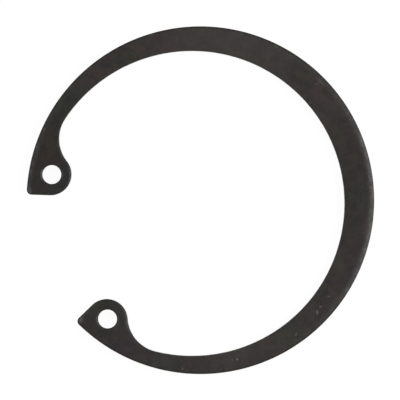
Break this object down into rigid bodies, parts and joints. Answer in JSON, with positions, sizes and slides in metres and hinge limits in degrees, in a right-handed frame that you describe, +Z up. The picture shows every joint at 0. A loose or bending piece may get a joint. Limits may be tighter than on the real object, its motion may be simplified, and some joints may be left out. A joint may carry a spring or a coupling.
{
  "type": "circlip retaining ring",
  "caption": "Stamped internal retaining ring: an open spring steel ring that springs out into a bore groove, with a tapering band and two lugs pierced for circlip pliers.",
  "frame": {"origin": "on the axis of the outer rim, in the plane of the lower face", "axes": "+Z up through the thickness, +X from the gap towards the wide back of the band, +Y across the gap from one lug to the other"},
  "size_m": [0.0483, 0.0504, 0.0018],
  "materials": {
    "phosphated_steel": "satin"
  },
  "bodies": {
    "root": {"retaining_ring": "phosphated_steel"}
  },
  "joints": []
}
